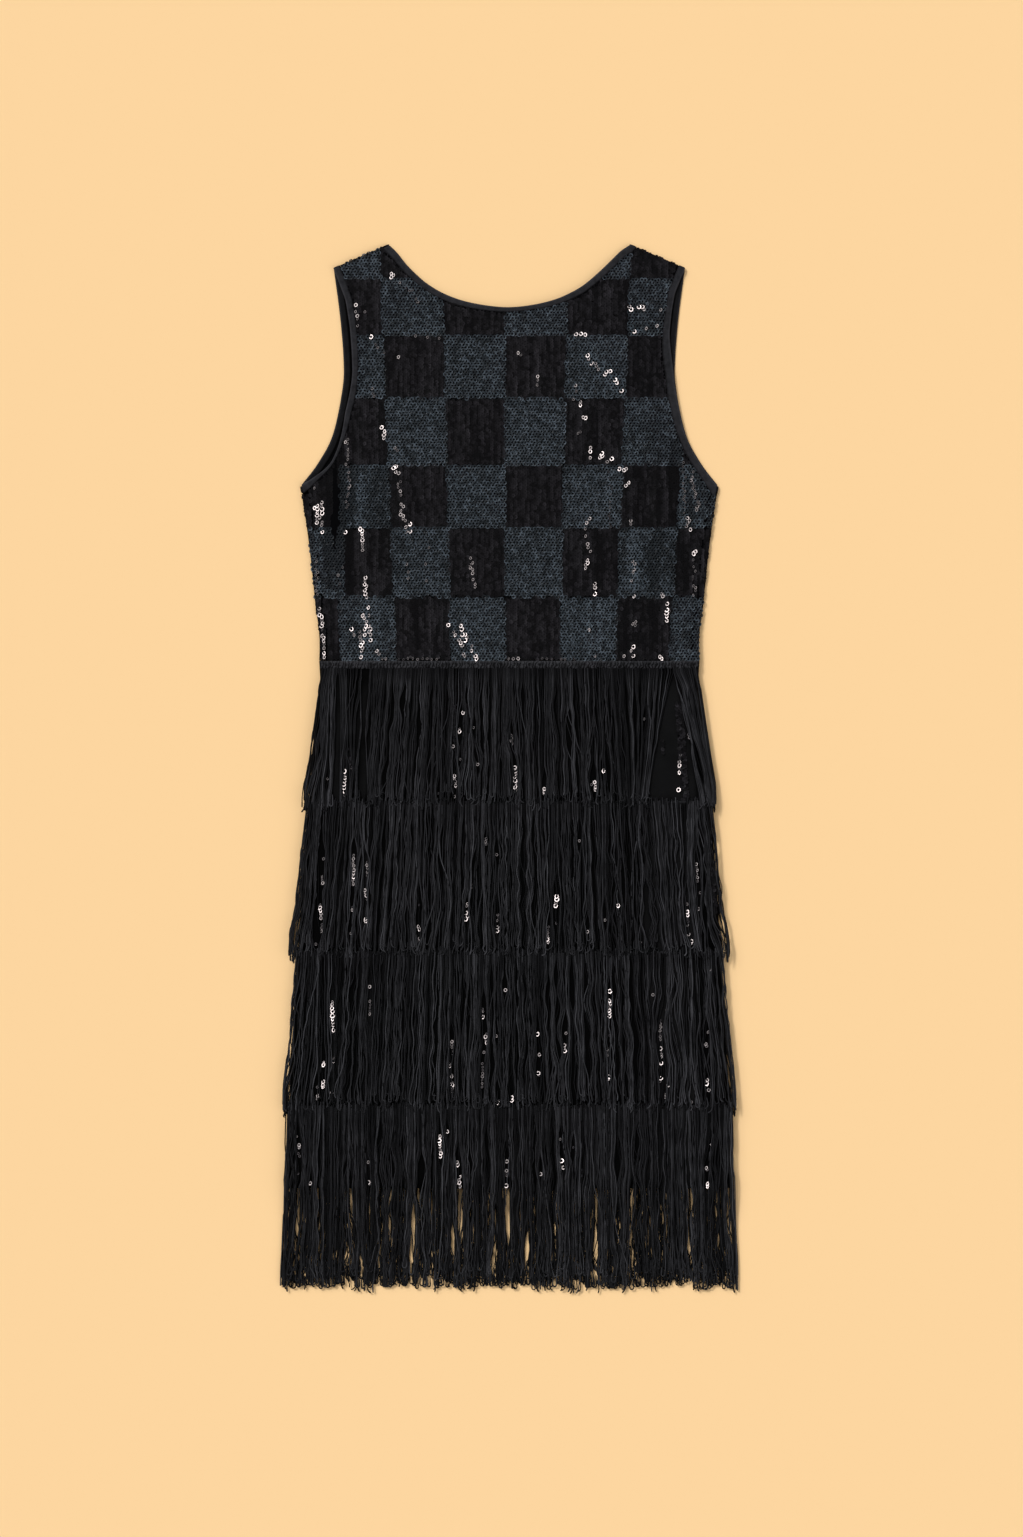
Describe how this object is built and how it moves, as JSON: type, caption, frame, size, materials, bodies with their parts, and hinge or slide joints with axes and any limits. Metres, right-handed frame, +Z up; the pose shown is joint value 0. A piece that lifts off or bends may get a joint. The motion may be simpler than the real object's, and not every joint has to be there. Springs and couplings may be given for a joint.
{
  "type": "flapper dress",
  "caption": "Sleeveless knee-length flapper dress laid flat, with a checked sequin bodice, bound scoop neck and armholes, and tiers of hanging fringe.",
  "frame": {"origin": "on the surface the dress lies on, under the middle of its length and width", "axes": "+Z up, away from the surface and out of the dress's front; +Y from the fringe to the shoulders; +X to the right seen from above"},
  "size_m": [0.4396, 1.0031, 0.0105],
  "materials": {
    "sequinned_cloth": "black mesh covered in small sequins, slate and black in a check",
    "skirt_cloth": "black woven base, with sequins of the same check",
    "bias_tape": "matt black bias tape and header tape",
    "fringe": "black chainette strands with a soft sheen"
  },
  "bodies": {
    "root": {"armhole_binding_left": "bias_tape", "armhole_binding_right": "bias_tape", "back_bodice": "sequinned_cloth", "back_fringe_1": "fringe", "back_fringe_2": "fringe", "back_fringe_3": "fringe", "back_fringe_4": "fringe", "back_skirt": "skirt_cloth", "front_bodice": "sequinned_cloth", "front_fringe_1": "fringe", "front_fringe_2": "fringe", "front_fringe_3": "fringe", "front_fringe_4": "fringe", "front_skirt": "skirt_cloth", "neck_binding": "bias_tape"}
  },
  "joints": []
}
